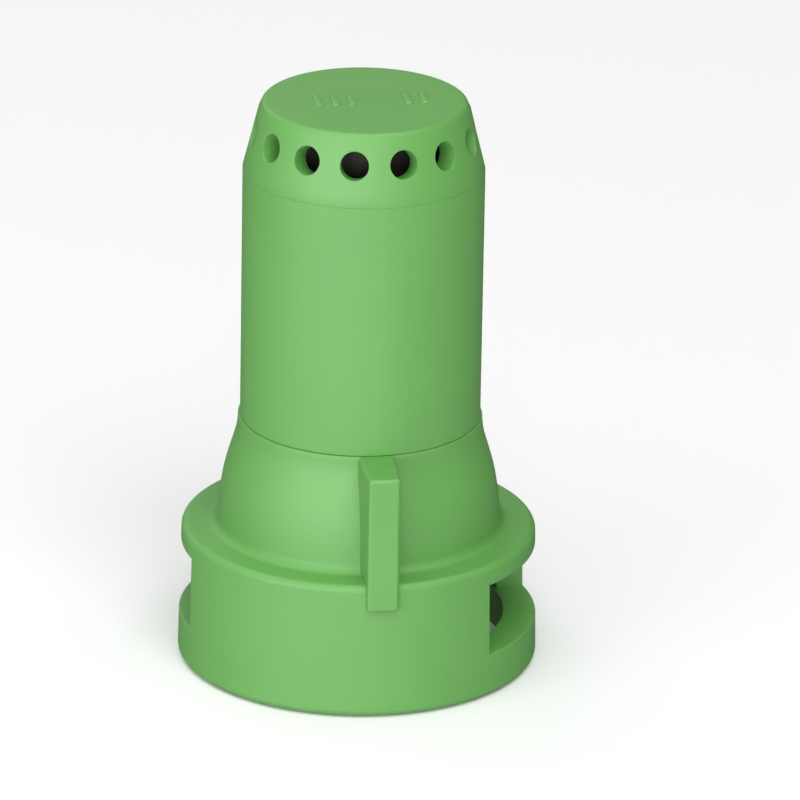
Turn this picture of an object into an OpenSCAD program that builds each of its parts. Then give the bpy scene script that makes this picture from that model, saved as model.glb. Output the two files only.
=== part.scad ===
// Rinse nozzle on a quick-turn bayonet cap: a closed tower with a ring of jets,
// held in a swivelling cap, with a strainer and a check valve inside.
// Millimetres, +Z up, origin at the centre of the cap's bottom rim.
// Azimuths run from -Y towards +X, seen from above counter-clockwise.

/* [Cap skirt] */
// Outside diameter at the bottom rim
skirt_d = 26; // [25:0.5:34]
// How much smaller in radius the skirt is at the plate
skirt_taper = 0.2; // [0:0.05:1]
// Height of the plate's top face
plate_z = 10; // [8.5:0.1:14]
// Plate thickness
plate_t = 1.5; // [1:0.1:2.5]
// Skirt wall outside the lug track
skirt_wall = 1.3; // [0.8:0.1:2]
// How far the ledges reach in under the lugs
ledge_reach = 1.1; // [0.6:0.1:1.6]
// Height of the ledges that the lugs turn onto
ledge_z = 3.2; // [2.4:0.1:4]
// Radius of the cap's outer edges
cap_edge = 0.5; // [0.2:0.05:0.8]
// How much wider in radius the cap is above the socket
seat_relief = 0.25; // [0.1:0.05:0.5]
// Chamfer at the mouth of the socket
mouth_chamfer = 0.4; // [0.1:0.05:0.6]

/* [Lug track] */
// Azimuth where a window starts
window_start = 40; // [35:1:50]
// Width of a window in degrees
window_sweep = 62.5; // [40:0.5:75]
// Width of the groove that lets a lug in, in degrees
groove_sweep = 30; // [20:1:35]

/* [Flare and wings] */
// Height of the flare above the plate
flare_h = 8.3; // [5:0.1:11]
// How far the flare's top stands outside the tower
flare_step = 0.15; // [0.05:0.05:0.4]
// How much wider in radius the flare is at its foot
flare_spread = 1.45; // [0.5:0.05:2]
// Share of the flare's height over which its curve leaves the tower
flare_neck = 0.29; // [0.1:0.01:0.5]
// Share of the flare's height up to the pull of its belly
flare_belly = 0.66; // [0.4:0.01:0.8]
// How far inside the foot's radius that pull lies
flare_tuck = 0.25; // [0:0.05:0.6]
// Radius of the hollow at the flare's foot
flare_fillet = 0.7; // [0.2:0.1:1.2]
// Thickness of a wing at its outer face
wing_t = 2.25; // [1.4:0.05:3]
// Thickness of a wing at its root
wing_root_t = 2.6; // [2:0.1:5]
// How far the wings stand outside the skirt
wing_proud = 0.3; // [0.1:0.05:1.5]
// How far the wings hang below the plate's top face
wing_drop = 1.8; // [0.6:0.1:3]
// Radius of a wing's upright outer edges
wing_edge = 0.35; // [0.1:0.05:0.6]

/* [Tower] */
// Outside diameter of the tower
tower_d = 17.3; // [14.5:0.1:19]
// Height of the seam under the jet head
head_z = 37; // [30:0.1:50]
// Width of the shoulder that stands on the flare
shoulder_w = 0.7; // [0.5:0.05:1]
// Wall of the shank inside the cap
shank_wall = 1.7; // [1.2:0.1:2]
// Wall of the tube around the head's spigot
tube_wall = 1.8; // [1.4:0.1:2]
// Running clearance of the shank in the cap, in radius
swivel_gap = 0.06; // [0.02:0.01:0.1]
// End play of the cap at each face
end_play = 0.1; // [0.05:0.05:0.3]
// Thickness of the retaining ring
ring_t = 1.3; // [0.8:0.1:2]
// Gap between the retaining ring and the socket wall
ring_side_gap = 0.6; // [0.3:0.1:1]
// Clearance between pieces that are fixed together, in radius
fixed_gap = 0.02; // [0.01:0.01:0.05]

/* [Jet head] */
// Height of the head above its seam
head_h = 5.1; // [4:0.1:8]
// Diameter of the closed end
end_d = 14.8; // [11:0.1:16]
// Thickness of the closed end
end_t = 1.5; // [1:0.1:2.5]
// Wall of the head behind the seam
head_wall = 2.2; // [1.6:0.1:2.6]
// Radius of the edge around the closed end
end_edge = 0.4; // [0.1:0.05:0.7]
// Number of jets
jets = 14; // [8:1:18]
// Diameter of a jet
jet_d = 2.05; // [0.8:0.05:2.3]
// Height of the jets above the seam
jet_rise = 2.9; // [1.8:0.1:3.4]
// Length of the spigot that plugs into the tube
spigot_l = 4; // [3:0.1:6]
// Wall of the spigot
spigot_wall = 0.95; // [0.7:0.05:1.2]
// Section of the head's O-ring
o_ring_d = 0.98; // [0.8:0.02:1.2]
// Height of the raised index bars on the closed end
mark_h = 0.12; // [0.05:0.01:0.3]

/* [Flow core] */
// Gap between the core and the head's inner wall
core_gap = 1.2; // [0.8:0.1:2]
// Length of the core's stem below the seam
core_drop = 7.5; // [5:0.1:9]
// Height of the ring that carries the core
core_ring_h = 1.2; // [0.8:0.1:2]

/* [Gasket and strainer] */
// Gasket thickness
gasket_t = 1.6; // [1:0.1:2.5]
// Gasket width
gasket_w = 3.3; // [2:0.1:4]
// Gap between the gasket and the socket wall
gasket_side_gap = 1.3; // [0.5:0.1:2]
// Strainer flange thickness
strainer_flange_t = 1; // [0.8:0.1:1.6]
// Gap between the strainer and the shank's bore
strainer_gap = 1; // [0.6:0.1:1.6]
// Wall of the strainer's sleeve
strainer_wall = 0.8; // [0.6:0.05:1.2]
// Length of the sleeve around the valve
sleeve_l = 4.6; // [3:0.1:6]
// Length of the screened part
screen_l = 12; // [9:0.1:14]
// Thickness of the screen
screen_t = 0.2; // [0.1:0.02:0.3]
// Thickness of the strainer's closed end
strainer_end_t = 1.5; // [1:0.1:2]
// Number of posts behind the screen
posts = 4; // [3:1:6]

/* [Check valve] */
// Ball diameter
ball_d = 5; // [4:0.1:5.5]
// Lift of the ball
ball_lift = 1.8; // [1:0.1:2.5]
// Section of the seat O-ring
seat_ring_d = 0.8; // [0.6:0.05:1]
// Thickness of the cage's floor
cage_floor_t = 1.8; // [1.4:0.1:2.4]
// Diameter of the inlet
inlet_d = 3.4; // [2:0.1:3.6]
// Running clearance of the ball between the fins
ball_gap = 0.1; // [0.03:0.01:0.2]
// Spring wire diameter
wire_d = 0.4; // [0.3:0.05:0.5]
// Mean diameter of the spring
spring_d = 3.2; // [2.6:0.1:3.6]
// Working turns of the spring
spring_turns = 6; // [4:0.5:8]

/* [Hidden] */

$fn = 96;
eps = 0.01;
through = 1;

// Cap
skirt_r = skirt_d / 2;
brim_r = skirt_r - skirt_taper;
track_r = skirt_r - skirt_wall;
socket_r = track_r - ledge_reach;
plate_under_z = plate_z - plate_t;
flare_top_z = plate_z + flare_h;
repeats = 2;

// Tower
tower_r = tower_d / 2;
shank_r = tower_r - shoulder_w;
shank_bore_r = shank_r - shank_wall;
tube_bore_r = tower_r - tube_wall;
cap_bore_r = shank_r + swivel_gap;
flare_top_r = tower_r + flare_step;
flare_foot_r = flare_top_r + flare_spread;
shoulder_z = flare_top_z + end_play;
ring_top_z = plate_under_z - end_play;
shank_end_z = ring_top_z - ring_t;
ring_r = socket_r - ring_side_gap;
seam_chamfer = 0.08;

// Head
end_r = end_d / 2;
end_z = head_z + head_h;
cone_angle = atan((tower_r - end_r) / head_h);
jet_z = head_z + jet_rise;
jet_pitch = 360 / jets;
jet_cone_r = tower_r - (tower_r - end_r) * jet_rise / head_h;
head_bore_r = tower_r - head_wall;
ceiling_z = end_z - end_t;
spigot_r = tube_bore_r - swivel_gap;
spigot_bore_r = spigot_r - spigot_wall;
spigot_end_z = head_z - spigot_l;
o_ring_r = o_ring_d / 2;
o_ring_seat_r = spigot_r + o_ring_d + 2 * fixed_gap;
o_ring_seat_h = o_ring_d + 2 * fixed_gap;

// Core
core_r = head_bore_r - core_gap;
core_ring_z = spigot_end_z - fixed_gap - core_ring_h;
core_nose_z = head_z - core_drop;
core_stem_r = core_r - 0.7;
core_rib_t = 1.1;

// Gasket and strainer
strainer_flange_z = shank_end_z - strainer_flange_t;
gasket_r = socket_r - gasket_side_gap;
gasket_z = strainer_flange_z - gasket_t;
strainer_r = shank_bore_r - strainer_gap;
sleeve_bore_r = strainer_r - strainer_wall;
screen_z = strainer_flange_z + sleeve_l;
strainer_end_z = screen_z + screen_l;
screen_seat = 0.15;
post_r = strainer_r - screen_seat - screen_t - fixed_gap;
post_t = 1.4;

// Valve
ball_r = ball_d / 2;
seat_ring_r = seat_ring_d / 2;
seat_ring_mean_r = inlet_d / 2 + seat_ring_r + 0.1;
seat_ring_z = strainer_flange_z + cage_floor_t - seat_ring_r - fixed_gap;
seat_touch = 0.04;
ball_z = seat_ring_z + sqrt(pow(ball_r + seat_ring_r + seat_touch, 2) - pow(seat_ring_mean_r, 2));
cage_floor_top_z = strainer_flange_z + cage_floor_t;
fin_top_z = ball_z + ball_lift + ball_r * 0.6;
fin_t = 0.9;
fins = 4;
wire_r = wire_d / 2;
spring_r = spring_d / 2;
spring_low_z = ball_z + sqrt(pow(ball_r + wire_r + seat_touch, 2) - pow(spring_r, 2));
spring_stop_z = strainer_end_z - 4.5;
spring_high_z = spring_stop_z - wire_r - seat_touch;
guide_r = spring_r - wire_r - 0.25;
guide_drop = 2.6;

// Points of an arc about (x, y), from one angle to the other
function arc(x, y, r, from, to, steps = 6) =
    [for (i = [0 : steps]) [x + r * cos(from + (to - from) * i / steps),
                            y + r * sin(from + (to - from) * i / steps)]];

module ring(outer_r, inner_r, low_z, high_z) {
    translate([0, 0, low_z]) difference() {
        cylinder(r = outer_r, h = high_z - low_z);
        translate([0, 0, -through]) cylinder(r = inner_r, h = high_z - low_z + 2 * through);
    }
}

// Part of a ring, from one azimuth over a sweep
module sector(outer_r, inner_r, low_z, high_z, start, sweep) {
    translate([0, 0, low_z]) rotate([0, 0, start - 90]) rotate_extrude(angle = sweep)
        translate([inner_r, 0]) square([outer_r - inner_r, high_z - low_z]);
}

module o_ring(mean_r, section_r, z) {
    translate([0, 0, z]) rotate_extrude() translate([mean_r, 0]) circle(r = section_r, $fn = 32);
}

// Points of a curve pulled towards its two middle points
function curve(a, b, c, d, steps = 12) =
    [for (i = [0 : steps]) let (t = i / steps, u = 1 - t)
        u * u * u * a + 3 * u * u * t * b + 3 * u * t * t * c + t * t * t * d];

// Outside of the cap as one turned shape
module cap_outside() {
    lean = atan(flare_tuck / (flare_h * flare_belly));
    fillet_x = flare_foot_r + flare_fillet * (1 - sin(lean)) / cos(lean);
    side = curve([flare_foot_r, plate_z], [flare_foot_r - flare_tuck, plate_z + flare_h * flare_belly],
                 [flare_top_r, flare_top_z - flare_h * flare_neck], [flare_top_r, flare_top_z]);
    rotate_extrude() polygon(concat(
        [[0, 0]],
        arc(skirt_r - cap_edge, cap_edge, cap_edge, -90, 0),
        arc(brim_r - cap_edge, plate_z - cap_edge, cap_edge, 0, 90),
        arc(fillet_x, plate_z + flare_fillet, flare_fillet, 270, 180 + lean),
        [for (p = side) if (p[1] > plate_z + 2 * flare_fillet) p],
        [[0, flare_top_z]]
    ));
}

// One wing, standing out towards -Y
module wing() {
    wing_r = skirt_r + wing_proud;
    low_z = plate_z - wing_drop;
    inner_r = cap_bore_r + 0.3;
    draft = (wing_root_t - wing_t) / 2 / (wing_r - flare_top_r);
    inner_half = wing_root_t / 2 + draft * (flare_top_r - inner_r);
    intersection() {
        translate([0, 0, low_z]) linear_extrude(flare_top_z - low_z) polygon(concat(
            arc(wing_t / 2 - wing_edge, wing_edge - wing_r, wing_edge, 0, -90),
            arc(wing_edge - wing_t / 2, wing_edge - wing_r, wing_edge, -90, -180),
            [[-inner_half, -inner_r], [inner_half, -inner_r]]
        ));
        // Side view, with the outer corners rounded
        rotate([90, 0, -90]) translate([0, 0, -wing_root_t]) linear_extrude(2 * wing_root_t) polygon(concat(
            arc(wing_r - wing_edge, low_z + wing_edge, wing_edge, -90, 0),
            arc(wing_r - wing_edge, flare_top_z - wing_edge, wing_edge, 0, 90),
            [[0, flare_top_z], [0, low_z]]
        ));
    }
}

module quick_cap() {
    color("limegreen") difference() {
        union() {
            cap_outside();
            for (i = [0 : repeats - 1]) rotate([0, 0, i * 360 / repeats]) wing();
        }
        // Socket, its mouth, the relief above it and the bore for the tower's shank
        translate([0, 0, -through]) cylinder(r = socket_r, h = plate_under_z + through);
        translate([0, 0, ledge_z]) cylinder(r = socket_r + seat_relief, h = plate_under_z - ledge_z);
        translate([0, 0, -eps]) cylinder(r1 = socket_r + mouth_chamfer + eps, r2 = socket_r,
                                         h = mouth_chamfer + eps);
        cylinder(r = cap_bore_r, h = flare_top_z + through);
        for (i = [0 : repeats - 1]) rotate([0, 0, i * 360 / repeats]) {
            // Groove that lets the lug in, the track that it turns in, and the window
            sector(track_r, socket_r - through, -through, plate_under_z,
                   window_start - groove_sweep, groove_sweep);
            sector(track_r, socket_r - through, ledge_z, plate_under_z, window_start, window_sweep);
            sector(skirt_r + through, socket_r - through, ledge_z, plate_under_z,
                   window_start, window_sweep);
        }
    }
}

module nozzle_tube() {
    color("limegreen") rotate_extrude() polygon([
        [shank_bore_r, shank_end_z],
        [shank_r, shank_end_z],
        [shank_r, shoulder_z],
        [tower_r - seam_chamfer, shoulder_z],
        [tower_r, shoulder_z + seam_chamfer],
        [tower_r, head_z - seam_chamfer],
        [tower_r - seam_chamfer, head_z],
        [o_ring_seat_r, head_z],
        [o_ring_seat_r, head_z - o_ring_seat_h],
        [tube_bore_r, head_z - o_ring_seat_h],
        [tube_bore_r, core_ring_z],
        [shank_bore_r, core_ring_z]
    ]);
}

module retaining_ring() {
    color("limegreen") ring(ring_r, shank_r + fixed_gap, shank_end_z, ring_top_z);
}

module jet_head() {
    color("limegreen") {
        difference() {
            rotate_extrude() polygon(concat(
                [[spigot_bore_r, spigot_end_z], [spigot_r, spigot_end_z], [spigot_r, head_z],
                 [tower_r - seam_chamfer, head_z], [tower_r, head_z + seam_chamfer]],
                arc(end_r - end_edge, end_z - end_edge, end_edge, cone_angle, 90),
                [[0, end_z], [0, ceiling_z], [head_bore_r, ceiling_z], [head_bore_r, head_z],
                 [spigot_bore_r, head_z]]
            ));
            for (i = [0 : jets - 1]) rotate([0, 0, (i + 0.5) * jet_pitch - 90])
                translate([jet_cone_r, 0, jet_z]) rotate([0, 90 - cone_angle, 0])
                    translate([0, 0, -head_wall]) cylinder(d = jet_d, h = head_wall + through, $fn = 48);
        }
        // Raised index bars: three on one side, two on the other
        for (x = [-3.4, -2.2, -1, 3, 4.2])
            translate([x, 0, end_z + mark_h / 2]) cube([0.5, 2.2, mark_h], center = true);
    }
}

module head_o_ring() {
    color("black") o_ring(spigot_r + o_ring_r + fixed_gap, o_ring_r, head_z - o_ring_r - fixed_gap);
}

// Solid core behind the jets, on a three-ribbed ring
module flow_core() {
    color("dimgray") union() {
        rotate_extrude() polygon(concat(
            [[0, ceiling_z - fixed_gap], [0, core_nose_z]],
            arc(0, core_nose_z + core_stem_r, core_stem_r, -90, 0, 8),
            [[core_stem_r, head_z], [core_r, head_z + (core_r - core_stem_r)],
             [core_r, ceiling_z - fixed_gap]]
        ));
        ring(tube_bore_r - fixed_gap, spigot_bore_r, core_ring_z, core_ring_z + core_ring_h);
        for (i = [0 : 2]) rotate([0, 0, i * 120])
            translate([core_stem_r / 2, -core_rib_t / 2, core_ring_z])
                cube([spigot_bore_r - core_stem_r / 2 + eps, core_rib_t, core_ring_h]);
    }
}

module seat_gasket() {
    color("black") ring(gasket_r, gasket_r - gasket_w, gasket_z, strainer_flange_z);
}

// Flange, sleeve, posts and closed end with the spring's guide
module strainer_frame() {
    color("white") union() {
        ring(gasket_r - 0.3, sleeve_bore_r, strainer_flange_z, shank_end_z);
        ring(strainer_r, sleeve_bore_r, strainer_flange_z, screen_z);
        for (i = [0 : posts - 1])
            sector(post_r, sleeve_bore_r, screen_z - eps, strainer_end_z + eps,
                   i * 360 / posts, post_t * 180 / PI / post_r);
        translate([0, 0, strainer_end_z]) cylinder(r = strainer_r, h = strainer_end_t);
        translate([0, 0, spring_stop_z])
            cylinder(r = spring_r + wire_r, h = strainer_end_z - spring_stop_z + eps);
        translate([0, 0, spring_stop_z - guide_drop]) cylinder(r = guide_r, h = guide_drop + eps);
    }
}

module strainer_screen() {
    color("silver") ring(post_r + fixed_gap + screen_t, post_r + fixed_gap, screen_z, strainer_end_z);
}

// Valve floor with its inlet, the seat ring's recess and the fins that guide the ball
module valve_cage() {
    color("gray") difference() {
        union() {
            translate([0, 0, strainer_flange_z])
                cylinder(r = sleeve_bore_r - fixed_gap, h = cage_floor_t);
            for (i = [0 : fins - 1])
                rotate([0, 0, (i + 0.5) * 360 / fins])
                    translate([0, -fin_t / 2, strainer_flange_z])
                        cube([sleeve_bore_r - 0.15, fin_t, fin_top_z - strainer_flange_z]);
        }
        translate([0, 0, strainer_flange_z - through]) cylinder(d = inlet_d, h = 20);
        translate([0, 0, seat_ring_z - seat_ring_r - fixed_gap])
            cylinder(r = seat_ring_mean_r + seat_ring_r + fixed_gap, h = 20);
        translate([0, 0, cage_floor_top_z]) cylinder(r = ball_r + ball_gap, h = 20);
    }
}

module seat_o_ring() {
    color("black") o_ring(seat_ring_mean_r, seat_ring_r, seat_ring_z);
}

module check_ball() {
    color("silver") translate([0, 0, ball_z]) sphere(r = ball_r);
}

// Eight-sided wire swept along a helix
module valve_spring() {
    sides = 8;
    per_turn = 16;
    steps = round(spring_turns * per_turn);
    rise = spring_high_z - spring_low_z;
    points = [for (i = [0 : steps], k = [0 : sides - 1])
        let (turn = 360 * i / per_turn,
             side = 360 * k / sides,
             r = spring_r + wire_r * cos(side))
        [r * cos(turn), r * sin(turn), spring_low_z + rise * i / steps + wire_r * sin(side)]];
    walls = [for (i = [0 : steps - 1], k = [0 : sides - 1])
        [i * sides + k, i * sides + (k + 1) % sides,
         (i + 1) * sides + (k + 1) % sides, (i + 1) * sides + k]];
    first = [for (k = [sides - 1 : -1 : 0]) k];
    last = [for (k = [0 : sides - 1]) steps * sides + k];
    color("silver") polyhedron(points = points, faces = concat([first, last], walls), convexity = 10);
}

quick_cap();
nozzle_tube();
retaining_ring();
jet_head();
head_o_ring();
flow_core();
seat_gasket();
strainer_frame();
strainer_screen();
valve_cage();
seat_o_ring();
check_ball();
valve_spring();
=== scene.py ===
import math

import bpy
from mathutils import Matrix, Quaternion, Vector


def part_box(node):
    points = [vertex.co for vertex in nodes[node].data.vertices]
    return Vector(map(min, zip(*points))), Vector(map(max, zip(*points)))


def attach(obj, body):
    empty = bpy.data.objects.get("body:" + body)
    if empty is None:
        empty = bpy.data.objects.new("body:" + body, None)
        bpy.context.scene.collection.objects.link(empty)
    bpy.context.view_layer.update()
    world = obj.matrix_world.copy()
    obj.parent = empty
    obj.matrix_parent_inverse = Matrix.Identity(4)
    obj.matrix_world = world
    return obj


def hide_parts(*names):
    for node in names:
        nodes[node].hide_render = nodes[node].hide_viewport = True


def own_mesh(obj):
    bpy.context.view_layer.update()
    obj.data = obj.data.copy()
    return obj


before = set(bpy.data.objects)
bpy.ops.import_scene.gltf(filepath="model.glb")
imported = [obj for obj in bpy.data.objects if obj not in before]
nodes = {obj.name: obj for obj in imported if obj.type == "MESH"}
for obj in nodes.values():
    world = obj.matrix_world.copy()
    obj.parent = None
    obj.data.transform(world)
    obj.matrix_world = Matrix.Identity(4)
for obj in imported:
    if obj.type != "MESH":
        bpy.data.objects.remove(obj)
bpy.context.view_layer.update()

mm = 0.001
tiny = 0.001  # millimetres within which two heights count as the same
weldReach = 0.0005  # millimetres, for closing a turned shape
cleanReach = 0.003  # millimetres, for the specks that a boolean leaves


def deselectAll():
    for obj in bpy.context.selected_objects:
        obj.select_set(False)


def pick(obj):
    deselectAll()
    obj.select_set(True)
    bpy.context.view_layer.objects.active = obj


def polar(radius, azimuth, z=0):
    # azimuth runs from -Y towards +X, as in the part's own frame
    a = math.radians(azimuth)
    return Vector((radius * math.sin(a), -radius * math.cos(a), z))


def towards(azimuth, elevation):
    # direction from the object to something that looks at it or lights it
    a = math.radians(azimuth)
    e = math.radians(elevation)
    return Vector((math.sin(a) * math.cos(e), -math.cos(a) * math.cos(e), math.sin(e)))


def arc(x, z, r, start, end, steps=6):
    # points of an arc in the turning plane
    span = [start + (end - start) * i / steps for i in range(steps + 1)]
    return [(x + r * math.cos(math.radians(a)), z + r * math.sin(math.radians(a))) for a in span]


def curve(a, b, c, d, steps=18):
    # points of a curve pulled towards its two middle points
    points = []
    for i in range(steps + 1):
        t = i / steps
        u = 1 - t
        shares = (u * u * u, 3 * u * u * t, 3 * u * t * t, t * t * t)
        points.append(tuple(sum(w * p[k] for w, p in zip(shares, (a, b, c, d))) for k in (0, 1)))
    return points


def settle(obj):
    # place and turn go into the mesh
    pick(obj)
    bpy.ops.object.transform_apply(location=True, rotation=True, scale=True)


def turned(name, outline, steps=144, sweep=360, start=0, closed=False):
    # an outline of (radius, height) in millimetres, extruded point by point and spun about Z
    deselectAll()
    first = polar(outline[0][0] * mm, start, outline[0][1] * mm)
    bpy.ops.mesh.primitive_plane_add(size=0.1 * mm, location=first)
    obj = bpy.context.object
    obj.name = name
    settle(obj)
    bpy.ops.object.mode_set(mode="EDIT")
    bpy.ops.mesh.select_all(action="SELECT")
    bpy.ops.mesh.merge(type="CENTER")
    here = first
    points = outline[1:] + (outline[:1] if closed else [])
    for radius, height in points:
        there = polar(radius * mm, start, height * mm)
        bpy.ops.mesh.extrude_region_move(TRANSFORM_OT_translate={"value": there - here})
        here = there
    bpy.ops.mesh.select_all(action="SELECT")
    bpy.ops.mesh.remove_doubles(threshold=weldReach * mm)
    if sweep < 360:
        bpy.ops.mesh.edge_face_add()
    bpy.ops.mesh.select_all(action="SELECT")
    bpy.ops.mesh.spin(steps=steps, angle=-math.radians(sweep), center=(0, 0, 0), axis=(0, 0, 1))
    bpy.ops.mesh.select_all(action="SELECT")
    bpy.ops.mesh.remove_doubles(threshold=weldReach * mm)
    bpy.ops.mesh.normals_make_consistent(inside=False)
    bpy.ops.object.mode_set(mode="OBJECT")
    return obj


def joined(name, parts):
    pick(parts[0])
    for obj in parts:
        obj.select_set(True)
    bpy.ops.object.join()
    parts[0].name = name
    return parts[0]


def combine(obj, tool, operation):
    # boolean with a tool that is then thrown away
    pick(obj)
    bpy.ops.object.modifier_add(type="BOOLEAN")
    cut = obj.modifiers[-1]
    cut.operation = operation
    cut.solver = "EXACT"
    cut.object = tool
    bpy.ops.object.modifier_apply(modifier=cut.name)
    bpy.data.objects.remove(tool)


def bevelEdges(obj, chosen, width, segments=3):
    # rounds the edges that chosen(a, b) says yes to, with a and b the ends of an edge
    pick(obj)
    mesh = obj.data
    for part in (mesh.polygons, mesh.edges, mesh.vertices):
        part.foreach_set("select", [False] * len(part))
    bpy.ops.object.mode_set(mode="EDIT")
    bpy.ops.mesh.select_mode(type="EDGE")
    bpy.ops.object.mode_set(mode="OBJECT")
    picked = 0
    for edge in mesh.edges:
        a, b = (mesh.vertices[i].co for i in edge.vertices)
        edge.select = chosen(a, b)
        picked += edge.select
    bpy.ops.object.mode_set(mode="EDIT")
    bpy.ops.mesh.bevel(offset=width * mm, segments=segments, profile=0.5, affect="EDGES",
                       clamp_overlap=True)
    bpy.ops.mesh.select_mode(type="VERT")
    bpy.ops.object.mode_set(mode="OBJECT")
    return picked


def finishPiece(obj, body, material, replaced, sharp=32):
    pick(obj)
    # edges of no length from a boolean would be stray faces in the finished mesh
    bpy.ops.object.mode_set(mode="EDIT")
    bpy.ops.mesh.select_all(action="SELECT")
    bpy.ops.mesh.remove_doubles(threshold=cleanReach * mm)
    bpy.ops.mesh.dissolve_degenerate(threshold=cleanReach * mm)
    bpy.ops.object.mode_set(mode="OBJECT")
    bpy.ops.object.shade_smooth_by_angle(angle=math.radians(sharp))
    bpy.ops.object.modifier_add(type="WEIGHTED_NORMAL")
    flat = obj.modifiers[-1]
    flat.keep_sharp = True
    bpy.ops.object.modifier_apply(modifier=flat.name)
    obj.data.materials.clear()
    obj.data.materials.append(material)
    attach(obj, body)
    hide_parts(*replaced)
    print("made", obj.name, "with", len(obj.data.polygons), "faces")


def reach(node):
    # lowest and highest corner of a CAD node, in millimetres
    low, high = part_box(node)
    return [v / mm for v in low], [v / mm for v in high]


capLow, capHigh = reach("quick_cap")
tubeLow, tubeHigh = reach("nozzle_tube")
headLow = reach("jet_head")[0]
ringLow, ringHigh = reach("retaining_ring")
gasketLow, gasketHigh = reach("seat_gasket")
springLow, springHigh = reach("valve_spring")
screenLow, screenHigh = reach("strainer_screen")

print("frame loaded:", len(nodes), "nodes")


def newGroup(name, inputs, outputs):
    group = bpy.data.node_groups.new(name, "ShaderNodeTree")
    for label, kind, value in inputs:
        socket = group.interface.new_socket(name=label, in_out="INPUT", socket_type=kind)
        socket.default_value = value
    for label, kind in outputs:
        group.interface.new_socket(name=label, in_out="OUTPUT", socket_type=kind)
    return group, group.nodes.new("NodeGroupInput"), group.nodes.new("NodeGroupOutput")


def addNode(tree, kind, **values):
    node = tree.nodes.new(kind)
    for key, value in values.items():
        setattr(node, key, value)
    return node


def buildMouldedSkin():
    # fine tool texture, slow colour drift and faint flow streaks of moulded plastic
    group, given, out = newGroup(
        "mouldedSkin",
        [("Color", "NodeSocketColor", (0.2, 0.5, 0.2, 1)), ("Drift", "NodeSocketFloat", 0.06),
         ("Roughness", "NodeSocketFloat", 0.4), ("Roughness Spread", "NodeSocketFloat", 0.08)],
        [("Color", "NodeSocketColor"), ("Roughness", "NodeSocketFloat"), ("Height", "NodeSocketFloat")])
    link = group.links.new
    coords = addNode(group, "ShaderNodeTexCoord")
    drift = addNode(group, "ShaderNodeTexNoise")
    drift.inputs["Scale"].default_value = 140
    drift.inputs["Detail"].default_value = 3
    grain = addNode(group, "ShaderNodeTexNoise")
    grain.inputs["Scale"].default_value = 9000
    grain.inputs["Detail"].default_value = 2
    stretch = addNode(group, "ShaderNodeMapping")
    stretch.inputs["Scale"].default_value = (1, 1, 0.16)
    flow = addNode(group, "ShaderNodeTexNoise")
    flow.inputs["Scale"].default_value = 900
    flow.inputs["Detail"].default_value = 4
    link(coords.outputs["Object"], drift.inputs["Vector"])
    link(coords.outputs["Object"], grain.inputs["Vector"])
    link(coords.outputs["Object"], stretch.inputs["Vector"])
    link(stretch.outputs["Vector"], flow.inputs["Vector"])
    span = addNode(group, "ShaderNodeMath", operation="MULTIPLY")  # drift of the colour's value
    centred = addNode(group, "ShaderNodeMath", operation="SUBTRACT")
    centred.inputs[1].default_value = 0.5
    lift = addNode(group, "ShaderNodeMath", operation="ADD")
    lift.inputs[1].default_value = 1
    link(drift.outputs["Fac"], centred.inputs[0])
    link(centred.outputs[0], span.inputs[0])
    link(given.outputs["Drift"], span.inputs[1])
    link(span.outputs[0], lift.inputs[0])
    tint = addNode(group, "ShaderNodeHueSaturation")
    link(given.outputs["Color"], tint.inputs["Color"])
    link(lift.outputs[0], tint.inputs["Value"])
    link(tint.outputs["Color"], out.inputs["Color"])
    rough = addNode(group, "ShaderNodeMath", operation="MULTIPLY_ADD")
    roughCentre = addNode(group, "ShaderNodeMath", operation="SUBTRACT")
    roughCentre.inputs[1].default_value = 0.5
    link(flow.outputs["Fac"], roughCentre.inputs[0])
    link(roughCentre.outputs[0], rough.inputs[0])
    link(given.outputs["Roughness Spread"], rough.inputs[1])
    link(given.outputs["Roughness"], rough.inputs[2])
    link(rough.outputs[0], out.inputs["Roughness"])
    height = addNode(group, "ShaderNodeMath", operation="MULTIPLY_ADD")
    height.inputs[1].default_value = 0.35
    link(flow.outputs["Fac"], height.inputs[0])
    link(grain.outputs["Fac"], height.inputs[2])
    link(height.outputs[0], out.inputs["Height"])
    return group


def buildEdgeWear():
    # lighter rubbed edges, broken up by noise
    group, given, out = newGroup(
        "edgeWear",
        [("Color", "NodeSocketColor", (0.2, 0.5, 0.2, 1)),
         ("Worn Color", "NodeSocketColor", (0.4, 0.7, 0.4, 1)), ("Amount", "NodeSocketFloat", 0.3)],
        [("Color", "NodeSocketColor")])
    link = group.links.new
    shape = addNode(group, "ShaderNodeNewGeometry")
    coords = addNode(group, "ShaderNodeTexCoord")
    noise = addNode(group, "ShaderNodeTexNoise")
    noise.inputs["Scale"].default_value = 1300
    noise.inputs["Detail"].default_value = 4
    edge = addNode(group, "ShaderNodeMapRange")
    edge.inputs["From Min"].default_value = 0.52
    edge.inputs["From Max"].default_value = 0.66
    broken = addNode(group, "ShaderNodeMath", operation="MULTIPLY")
    mask = addNode(group, "ShaderNodeMath", operation="MULTIPLY")
    mix = addNode(group, "ShaderNodeMix", data_type="RGBA")
    link(shape.outputs["Pointiness"], edge.inputs["Value"])
    link(coords.outputs["Object"], noise.inputs["Vector"])
    link(edge.outputs["Result"], broken.inputs[0])
    link(noise.outputs["Fac"], broken.inputs[1])
    link(broken.outputs[0], mask.inputs[0])
    link(given.outputs["Amount"], mask.inputs[1])
    link(mask.outputs[0], mix.inputs["Factor"])
    link(given.outputs["Color"], mix.inputs["A"])
    link(given.outputs["Worn Color"], mix.inputs["B"])
    link(mix.outputs["Result"], out.inputs["Color"])
    return group


mouldedSkin = buildMouldedSkin()
edgeWear = buildEdgeWear()


def startMaterial(name):
    material = bpy.data.materials.new(name)
    material.use_nodes = True
    return material, material.node_tree.nodes["Principled BSDF"]


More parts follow.
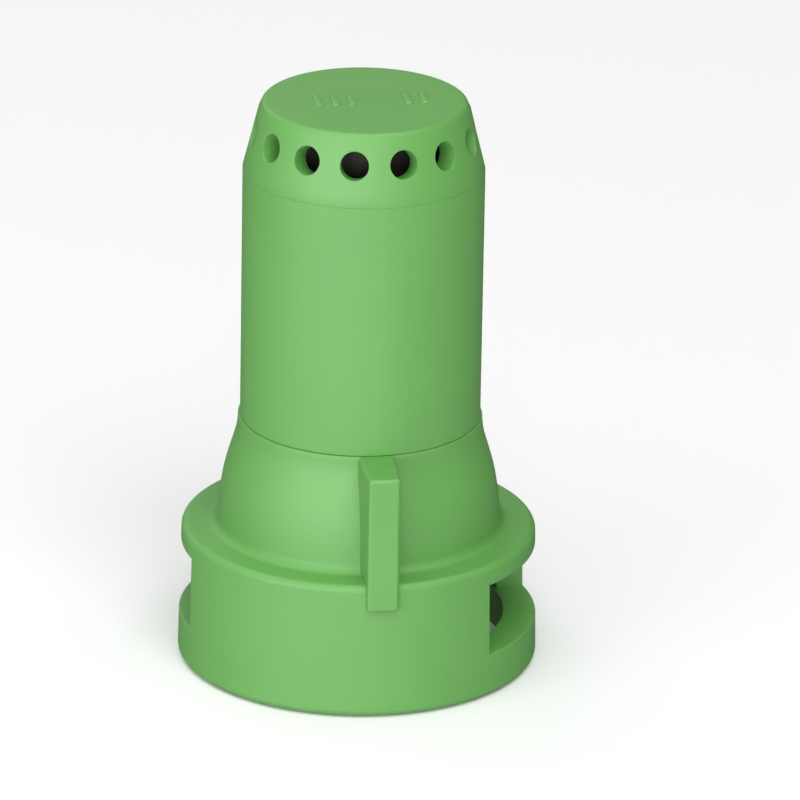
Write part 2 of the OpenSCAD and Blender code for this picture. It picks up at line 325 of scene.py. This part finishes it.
def plastic(name, look):
    material, shader = startMaterial(name)
    tree = material.node_tree
    link = tree.links.new
    skin = addNode(tree, "ShaderNodeGroup", node_tree=mouldedSkin)
    skin.inputs["Color"].default_value = (*look["color"], 1)
    skin.inputs["Drift"].default_value = look["drift"]
    skin.inputs["Roughness"].default_value = look["roughness"]
    skin.inputs["Roughness Spread"].default_value = look["spread"]
    wear = addNode(tree, "ShaderNodeGroup", node_tree=edgeWear)
    wear.inputs["Worn Color"].default_value = (*look["worn"], 1)
    wear.inputs["Amount"].default_value = look["wear"]
    bump = addNode(tree, "ShaderNodeBump")
    bump.inputs["Strength"].default_value = look["bump"]
    bump.inputs["Distance"].default_value = 0.02 * mm
    link(skin.outputs["Color"], wear.inputs["Color"])
    link(wear.outputs["Color"], shader.inputs["Base Color"])
    link(skin.outputs["Roughness"], shader.inputs["Roughness"])
    link(skin.outputs["Height"], bump.inputs["Height"])
    link(bump.outputs["Normal"], shader.inputs["Normal"])
    shader.inputs["IOR"].default_value = look["ior"]
    shader.inputs["Specular IOR Level"].default_value = look["gloss"]
    shader.inputs["Subsurface Weight"].default_value = look["glow"]
    shader.inputs["Subsurface Radius"].default_value = (0.35, 1.0, 0.3)
    shader.inputs["Subsurface Scale"].default_value = 0.4 * mm
    return material


def steel(name, look):
    material, shader = startMaterial(name)
    tree = material.node_tree
    link = tree.links.new
    coords = addNode(tree, "ShaderNodeTexCoord")
    stretch = addNode(tree, "ShaderNodeMapping")
    stretch.inputs["Scale"].default_value = look["grain"]
    noise = addNode(tree, "ShaderNodeTexNoise")
    noise.inputs["Scale"].default_value = 4000
    ramp = addNode(tree, "ShaderNodeMapRange")
    ramp.inputs["To Min"].default_value = look["roughness"] - 0.06
    ramp.inputs["To Max"].default_value = look["roughness"] + 0.08
    bump = addNode(tree, "ShaderNodeBump")
    bump.inputs["Strength"].default_value = 0.25
    bump.inputs["Distance"].default_value = 0.004 * mm
    link(coords.outputs["Object"], stretch.inputs["Vector"])
    link(stretch.outputs["Vector"], noise.inputs["Vector"])
    link(noise.outputs["Fac"], ramp.inputs["Value"])
    link(ramp.outputs["Result"], shader.inputs["Roughness"])
    link(noise.outputs["Fac"], bump.inputs["Height"])
    link(bump.outputs["Normal"], shader.inputs["Normal"])
    shader.inputs["Base Color"].default_value = (*look["color"], 1)
    shader.inputs["Metallic"].default_value = 1
    return material


greenLook = {
    "color": (0.121, 0.375, 0.073),
    "worn": (0.25, 0.6, 0.19),
    "drift": 0.10,
    "roughness": 0.55,
    "spread": 0.14,
    "wear": 0.35,
    "bump": 0.35,
    "glow": 0.05,
    "gloss": 1,
    "ior": 1.55,
}
blackLook = dict(greenLook, color=(0.028, 0.022, 0.021), worn=(0.06, 0.055, 0.05), glow=0,
                 roughness=0.5, gloss=0.5, ior=1.5)
rubberLook = dict(greenLook, color=(0.014, 0.014, 0.015), worn=(0.05, 0.05, 0.05), glow=0,
                  roughness=0.62, bump=0.6, wear=0.5, gloss=0.4, ior=1.5)
naturalLook = dict(greenLook, color=(0.62, 0.61, 0.55), worn=(0.75, 0.74, 0.7), glow=0.25,
                   roughness=0.45, gloss=0.5, ior=1.5)
greyLook = dict(greenLook, color=(0.16, 0.165, 0.17), worn=(0.3, 0.3, 0.3), glow=0,
                roughness=0.4, gloss=0.5, ior=1.5)
ballLook = {"color": (0.66, 0.66, 0.67), "roughness": 0.16, "grain": (1, 1, 1)}
wireLook = {"color": (0.55, 0.55, 0.57), "roughness": 0.3, "grain": (1, 1, 0.2)}

greenPlastic = plastic("greenPlastic", greenLook)
blackPlastic = plastic("blackPlastic", blackLook)
sealRubber = plastic("sealRubber", rubberLook)
naturalPlastic = plastic("naturalPlastic", naturalLook)
greyPlastic = plastic("greyPlastic", greyLook)
ballSteel = steel("ballSteel", ballLook)
wireSteel = steel("wireSteel", wireLook)
print("materials ready")


capSizes = {
    "edge": 0.5,  # rounding of the rim and the plate
    "socketRadius": 10.6,
    "mouth": 0.4,
    "ledgeHeight": 3.2,
    "ledgeReach": 1.1,
    "seatRelief": 0.25,
    "plateHeight": 10,
    "plateThickness": 1.5,
    "plateRadius": 12.8,
    "flareTopRadius": 8.8,
    "flareSpread": 1.45,
    "flareNeck": 0.29,
    "flareBelly": 0.66,
    "flareTuck": 0.25,
    "footFillet": 0.7,
    "boreRadius": 8.01,
    "windowStart": 40,
    "windowSweep": 62.5,
    "grooveSweep": 30,
    "wingThickness": 2.25,
    "wingRoot": 2.6,
    "wingDrop": 1.8,
    "wingSink": 0.3,  # how far outside the bore a wing starts
    "edgeSoftness": 0.16,  # rounding of the windows
    "wingSoftness": 0.256,
    "boreSoftness": 0.05,
}


def capOutline(s):
    rim = capHigh[0]
    top = capHigh[2]
    plate = s["plateHeight"]
    under = plate - s["plateThickness"]
    rise = top - plate
    lean = math.atan(s["flareTuck"] / (rise * s["flareBelly"]))
    foot = s["flareTopRadius"] + s["flareSpread"]
    filletAt = foot + s["footFillet"] * (1 - math.sin(lean)) / math.cos(lean)
    seat = s["socketRadius"] + s["seatRelief"]
    soft = s["boreSoftness"]
    outline = arc(rim - s["edge"], s["edge"], s["edge"], -90, 0)
    outline += arc(s["plateRadius"] - s["edge"], plate - s["edge"], s["edge"], 0, 90)
    outline += arc(filletAt, plate + s["footFillet"], s["footFillet"], 270, 180 + math.degrees(lean))
    side = curve((foot, plate), (foot - s["flareTuck"], plate + rise * s["flareBelly"]),
                 (s["flareTopRadius"], top - rise * s["flareNeck"]), (s["flareTopRadius"], top))
    outline += [p for p in side if plate + 2 * s["footFillet"] < p[1] < top - 0.2]
    outline += arc(s["flareTopRadius"] - soft, top - soft, soft, 0, 90, 3)
    outline += [(s["boreRadius"] + soft, top), (s["boreRadius"], top - soft), (s["boreRadius"], under),
                (seat, under), (seat, s["ledgeHeight"]), (s["socketRadius"], s["ledgeHeight"]),
                (s["socketRadius"], s["mouth"]), (s["socketRadius"] + s["mouth"], 0)]
    return outline


def trackCutter(name, inner, outer, low, high, start, sweep):
    block = [(inner, low), (outer, low), (outer, high), (inner, high)]
    return turned(name, block, steps=max(4, round(sweep / 2.5)), sweep=sweep, start=start, closed=True)


def buildWing(s, turn):
    # a tapered plate standing out to -Y, then turned about Z
    outer = -capLow[1]
    inner = s["boreRadius"] + s["wingSink"]
    low = s["plateHeight"] - s["wingDrop"]
    top = capHigh[2]
    deselectAll()
    centre = (0, -(outer + inner) / 2 * mm, (low + top) / 2 * mm)
    bpy.ops.mesh.primitive_cube_add(size=mm, location=centre,
                                    scale=(s["wingThickness"], outer - inner, top - low))
    wing = bpy.context.object
    wing.name = "wing"
    settle(wing)
    draft = (s["wingRoot"] - s["wingThickness"]) / (outer - s["flareTopRadius"])
    widen = 1 + draft * (outer - inner) / s["wingThickness"]
    bpy.ops.object.mode_set(mode="EDIT")
    bpy.ops.mesh.select_mode(type="VERT")
    bpy.ops.mesh.select_all(action="DESELECT")
    bpy.ops.object.mode_set(mode="OBJECT")
    for vertex in wing.data.vertices:
        vertex.select = vertex.co.y > -(inner + 1) * mm
    bpy.ops.object.mode_set(mode="EDIT")
    bpy.ops.transform.resize(value=(widen, 1, 1), center_override=(0, 0, 0))
    bpy.ops.object.mode_set(mode="OBJECT")
    bevelEdges(wing, lambda a, b: min(a.y, b.y) < -(inner + 1) * mm, s["wingSoftness"], 4)
    wing.rotation_euler.z = math.radians(turn)
    settle(wing)
    return wing


def buildCap(s):
    cap = turned("quickCap", capOutline(s), start=1.25, closed=True)
    under = s["plateHeight"] - s["plateThickness"]
    wings = joined("wings", [buildWing(s, 0), buildWing(s, 180)])
    seat = s["socketRadius"] + s["seatRelief"]
    well = turned("well", [(0, 0), (seat, 0), (seat, under), (s["boreRadius"], under),
                           (s["boreRadius"], capHigh[2] + 1), (0, capHigh[2] + 1)], closed=True)
    combine(wings, well, "DIFFERENCE")
    combine(cap, wings, "UNION")
    track = s["socketRadius"] + s["ledgeReach"]
    start = s["windowStart"]
    inner = s["socketRadius"] - 1
    for turn in (0, 180):
        groove = trackCutter("groove", inner, track, -1, under, start - s["grooveSweep"] + turn,
                             s["grooveSweep"] + 1)
        combine(cap, groove, "DIFFERENCE")
        lugTrack = trackCutter("lugTrack", inner, track, s["ledgeHeight"], under, start + turn,
                               s["windowSweep"])
        combine(cap, lugTrack, "DIFFERENCE")
        window = trackCutter("window", inner, capHigh[0] + 1, s["ledgeHeight"], under, start + turn,
                             s["windowSweep"])
        combine(cap, window, "DIFFERENCE")
    ledge = s["ledgeHeight"] * mm
    roof = under * mm
    end = start + s["windowSweep"]
    slack = 0.2  # degrees

    def onWindow(a, b):
        # outer rim of a window: its sill, its head and its two jambs
        for point in (a, b):
            if math.hypot(point.x, point.y) < (track + 0.4) * mm:
                return False
            if not ledge - tiny * mm <= point.z <= roof + tiny * mm:
                return False
        middle = (a + b) / 2
        azimuth = math.degrees(math.atan2(middle.x, -middle.y)) % 180
        inside = start - slack <= azimuth <= end + slack
        level = abs(a.z - b.z) < tiny * mm and min(abs(a.z - ledge), abs(a.z - roof)) < tiny * mm
        nearJamb = min(abs(azimuth - start), abs(azimuth - end)) < slack
        upright = abs(a.z - b.z) > 0.5 * mm and nearJamb
        return inside and (level or upright)

    print("window edges", bevelEdges(cap, onWindow, s["edgeSoftness"]))
    finishPiece(cap, "cap", greenPlastic, ["quick_cap"])


buildCap(capSizes)


towerSizes = {
    "radius": 8.65,
    "shankRadius": 7.95,
    "shankBore": 6.25,
    "tubeBore": 6.85,
    "ledge": 31.78,  # where the bore steps out for the core's ring
    "sealRadius": 7.81,
    "sealDepth": 1.02,
    "seam": 0.04,  # rounding that shows as a fine line at each seam
    "shoulderGap": 0.03,
}
headSizes = {
    "height": 5.1,
    "endRadius": 7.4,
    "endThickness": 1.5,
    "wall": 2.2,
    "edge": 0.4,
    "jets": 14,
    "jetRadius": 1.025,
    "jetRise": 2.9,
    "rings": (0.2, 0.34, 0.8, 0.87),
    "lip": 0.09,  # rounding where a jet breaks the surface
    "spigotRadius": 6.79,
    "spigotBore": 5.84,
    "bars": (-3.4, -2.2, -1, 3, 4.2),
    "barHeight": 0.12,
    "barWidth": 0.5,
    "barLength": 2.2,
    "barDepth": 0.3,
    "barSoftness": 0.07,
}


def buildTube(s):
    top = tubeHigh[2]
    low = tubeLow[2]
    shoulder = capHigh[2] + s["shoulderGap"]
    outline = [(s["shankBore"], low + 0.2), (s["shankBore"] + 0.2, low), (s["shankRadius"] - 0.2, low),
               (s["shankRadius"], low + 0.2), (s["shankRadius"], shoulder)]
    outline += arc(s["radius"] - s["seam"], shoulder + s["seam"], s["seam"], -90, 0, 3)
    outline += arc(s["radius"] - s["seam"], top - s["seam"], s["seam"], 0, 90, 3)
    outline += [(s["sealRadius"], top), (s["sealRadius"], top - s["sealDepth"]),
                (s["tubeBore"], top - s["sealDepth"]), (s["tubeBore"], s["ledge"]),
                (s["shankBore"], s["ledge"])]
    tube = turned("nozzleTube", outline, closed=True)
    finishPiece(tube, "nozzle", greenPlastic, ["nozzle_tube"])


def jetCutter(s, cone, azimuth, r, z):
    # a drill with a softly flared mouth, laid along the jet's axis
    flare = [(0, -s["wall"]), (s["jetRadius"], -s["wall"])]
    flare += arc(s["jetRadius"] + s["lip"], -s["lip"], s["lip"], 180, 90, 3)
    flare += [(s["jetRadius"] + s["lip"], 1), (0, 1)]
    cutter = turned("jet", flare, steps=40)
    cutter.rotation_euler = (math.radians(90) - cone, 0, math.radians(azimuth))
    cutter.location = polar(r * mm, azimuth, z * mm)
    settle(cutter)
    return cutter


def buildBar(s, x, z):
    # one raised index bar, sunk most of the way into the closed end
    deselectAll()
    middle = (z - s["barDepth"] / 2) * mm
    bpy.ops.mesh.primitive_cube_add(size=mm, location=(x * mm, 0, middle),
                                    scale=(s["barWidth"], s["barLength"], s["barDepth"]))
    bar = bpy.context.object
    settle(bar)
    bevelEdges(bar, lambda a, b: max(a.z, b.z) > middle, s["barSoftness"], 3)
    return bar


def buildHead(s):
    seam = tubeHigh[2]
    top = seam + s["height"]
    ceiling = top - s["endThickness"]
    bore = towerSizes["radius"] - s["wall"]
    cone = math.atan((towerSizes["radius"] - s["endRadius"]) / s["height"])
    soft = towerSizes["seam"]
    outline = [(s["spigotBore"], headLow[2]), (s["spigotRadius"] - 0.1, headLow[2]),
               (s["spigotRadius"], headLow[2] + 0.1), (s["spigotRadius"], seam)]
    outline += arc(towerSizes["radius"] - soft, seam + soft, soft, -90, 0, 3)
    for share in s["rings"]:  # loops above and below the jets keep the shading between them clean
        outline.append((towerSizes["radius"] - share * (towerSizes["radius"] - s["endRadius"]),
                        seam + share * s["height"]))
    outline += arc(s["endRadius"] - s["edge"], top - s["edge"], s["edge"], math.degrees(cone), 90, 8)
    outline += [(5.2, top), (0, top), (0, ceiling), (bore - 0.3, ceiling), (bore, ceiling - 0.3),
                (bore, seam), (s["spigotBore"], seam)]
    head = turned("jetHead", outline, closed=True)
    pitch = 360 / s["jets"]
    rise = s["jetRise"]
    coneRadius = towerSizes["radius"] - (towerSizes["radius"] - s["endRadius"]) * rise / s["height"]
    drills = [jetCutter(s, cone, (i + 0.5) * pitch, coneRadius, seam + rise) for i in range(s["jets"])]
    combine(head, joined("jets", drills), "DIFFERENCE")
    combine(head, joined("bars", [buildBar(s, x, top + s["barHeight"]) for x in s["bars"]]), "UNION")
    finishPiece(head, "nozzle", greenPlastic, ["jet_head"])


buildTube(towerSizes)
buildHead(headSizes)


innerSizes = {
    "gasketWidth": 3.3,
    "gasketEdge": 0.25,
    "ringInner": 7.97,
    "ringEdge": 0.2,
    "wires": 64,
    "screenRows": 36,
    "screenWire": 0.16,
    "screenInset": 0.1,
    "springRadius": 1.6,
    "springWire": 0.2,
    "springTurns": 6,
    "springSteps": 28,
    "closedPitch": 0.43,
    "ballLift": 1.8,
}


def roundedRing(name, inner, outer, low, high, edge):
    outline = arc(outer - edge, low + edge, edge, -90, 0, 4)
    outline += arc(outer - edge, high - edge, edge, 0, 90, 4)
    outline += arc(inner + edge, high - edge, edge, 90, 180, 4)
    outline += arc(inner + edge, low + edge, edge, 180, 270, 4)
    return turned(name, outline, steps=96, closed=True)


def buildRings(s):
    outer = gasketHigh[0]
    gasket = roundedRing("seatGasket", outer - s["gasketWidth"], outer, gasketLow[2], gasketHigh[2],
                         s["gasketEdge"])
    finishPiece(gasket, "nozzle", sealRubber, ["seat_gasket"])
    keeper = roundedRing("retainingRing", s["ringInner"], ringHigh[0], ringLow[2], ringHigh[2],
                         s["ringEdge"])
    finishPiece(keeper, "nozzle", greenPlastic, ["retaining_ring"])


def buildScreen(s):
    # a fine tube in rows, turned into crossing wires
    deselectAll()
    half = s["screenWire"] / 2
    radius = screenHigh[0] - s["screenInset"]
    low = screenLow[2] + half
    row = (screenHigh[2] - half - low) / s["screenRows"]
    bpy.ops.mesh.primitive_circle_add(vertices=s["wires"], radius=radius * mm, fill_type="NOTHING",
                                      location=(0, 0, low * mm))
    screen = bpy.context.object
    screen.name = "strainerScreen"
    settle(screen)
    bpy.ops.object.mode_set(mode="EDIT")
    bpy.ops.mesh.select_all(action="SELECT")
    for step in range(s["screenRows"]):
        bpy.ops.mesh.extrude_region_move(TRANSFORM_OT_translate={"value": (0, 0, row * mm)})
    bpy.ops.mesh.select_all(action="SELECT")
    bpy.ops.mesh.normals_make_consistent(inside=False)
    bpy.ops.object.mode_set(mode="OBJECT")
    bpy.ops.object.modifier_add(type="WIREFRAME")
    wire = screen.modifiers[-1]
    wire.thickness = s["screenWire"] * mm
    wire.use_even_offset = False
    wire.use_boundary = True
    bpy.ops.object.modifier_apply(modifier=wire.name)
    finishPiece(screen, "nozzle", wireSteel, ["strainer_screen"])


def buildSpring(s):
    # a wire's end face drawn up a helix, with a nearly closed turn at each end
    deselectAll()
    wire = s["springWire"]
    low = springLow[2] + wire
    high = springHigh[2] - wire
    bpy.ops.mesh.primitive_circle_add(vertices=12, radius=wire * mm, fill_type="NGON",
                                      location=(s["springRadius"] * mm, 0, low * mm),
                                      rotation=(math.pi / 2, 0, 0))
    spring = bpy.context.object
    spring.name = "valveSpring"
    settle(spring)
    bpy.ops.object.mode_set(mode="EDIT")
    bpy.ops.mesh.select_all(action="SELECT")
    steps = s["springSteps"]
    closed = s["closedPitch"]
    opened = (high - low - 2 * closed) / (s["springTurns"] - 2)
    for turn in range(s["springTurns"]):
        pitch = closed if turn in (0, s["springTurns"] - 1) else opened
        for step in range(steps):
            rise = (0, 0, pitch / steps * mm)
            bpy.ops.mesh.extrude_region_move(TRANSFORM_OT_translate={"value": rise})
            bpy.ops.transform.rotate(value=math.radians(360 / steps), orient_axis="Z",
                                     center_override=(0, 0, 0))
    bpy.ops.mesh.select_all(action="SELECT")
    bpy.ops.mesh.normals_make_consistent(inside=False)
    bpy.ops.object.mode_set(mode="OBJECT")
    finishPiece(spring, "nozzle", wireSteel, ["valve_spring"])
    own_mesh(spring)


buildRings(innerSizes)
buildScreen(innerSizes)
buildSpring(innerSizes)
print("inner pieces ready")


# finishes of the pieces that keep their CAD shape
keptFinishes = {
    "head_o_ring": sealRubber,
    "seat_o_ring": sealRubber,
    "flow_core": blackPlastic,
    "strainer_frame": naturalPlastic,
    "valve_cage": greyPlastic,
    "check_ball": ballSteel,
}
for name, material in keptFinishes.items():
    nodes[name].data.materials.clear()
    nodes[name].data.materials.append(material)


viewSizes = {
    "azimuth": -8,
    "elevation": 21.24,
    "distance": 600,
    "lens": 375.5,
    "roll": 1.0,
    "targetHeight": 20,
    "aside": 2.85,  # the object stands left of the middle
    "lower": 0.66,  # and a little above it
}


def buildCamera(s):
    data = bpy.data.cameras.new("camera")
    camera = bpy.data.objects.new("camera", data)
    bpy.context.scene.collection.objects.link(camera)
    back = towards(s["azimuth"], s["elevation"])
    target = Vector((0, 0, s["targetHeight"] * mm))
    camera.location = target + back * s["distance"] * mm
    right = Vector((0, 0, 1)).cross(back).normalized()
    up = back.cross(right)
    aim = target + right * s["aside"] * mm - up * s["lower"] * mm
    turn = (camera.location - aim).to_track_quat("Z", "Y")
    camera.rotation_euler = (turn @ Quaternion((0, 0, 1), math.radians(s["roll"]))).to_euler()
    data.lens = s["lens"]
    data.sensor_width = 36
    data.clip_start = 0.01
    data.clip_end = 10
    bpy.context.scene.camera = camera


def addLight(name, s):
    data = bpy.data.lights.new(name, "AREA")
    data.shape = "RECTANGLE"
    data.size = s["width"]
    data.size_y = s["height"]
    data.energy = s["power"]
    light = bpy.data.objects.new(name, data)
    bpy.context.scene.collection.objects.link(light)
    back = towards(s["azimuth"], s["elevation"])
    light.location = Vector((0, 0, 0.02)) + back * s["distance"]
    light.rotation_euler = back.to_track_quat("Z", "Y").to_euler()
    light.visible_camera = False
    light.visible_glossy = s["glossy"]


def buildFloor():
    deselectAll()
    bpy.ops.mesh.primitive_plane_add(size=4, location=(0, 0, -0.0001))
    floor = bpy.context.object
    floor.name = "floor"
    material, shader = startMaterial("paleFloor")
    shader.inputs["Base Color"].default_value = (0.9, 0.9, 0.9, 1)
    shader.inputs["Roughness"].default_value = 0.9
    shader.inputs["Specular IOR Level"].default_value = 0.1
    shader.inputs["Emission Color"].default_value = (1, 1, 1, 1)
    shader.inputs["Emission Strength"].default_value = 0.1
    floor.data.materials.append(material)
    floor.visible_glossy = False  # keeps the sides of the tower from washing out


def buildWorld(strength):
    world = bpy.data.worlds.new("studio")
    world.use_nodes = True
    sky = world.node_tree.nodes["Background"]
    sky.inputs["Color"].default_value = (1, 1, 1, 1)
    sky.inputs["Strength"].default_value = strength
    bpy.context.scene.world = world


buildCamera(viewSizes)
buildWorld(0.07)
buildFloor()
lights = {
    "key": {"azimuth": -32, "elevation": 7, "distance": 0.7, "width": 1.3, "height": 0.3,
            "power": 4.8, "glossy": True},
    "fill": {"azimuth": 8, "elevation": 48, "distance": 0.8, "width": 0.5, "height": 0.4,
             "power": 2.5, "glossy": False},
    "top": {"azimuth": -20, "elevation": 78, "distance": 1.1, "width": 1.6, "height": 1.6,
            "power": 11.5, "glossy": True},
    "back": {"azimuth": -160, "elevation": 28, "distance": 0.8, "width": 0.8, "height": 0.4,
             "power": 0.9, "glossy": True},
}
for name, s in lights.items():
    addLight(name, s)
bpy.context.scene.view_settings.view_transform = "Standard"
print("studio ready")
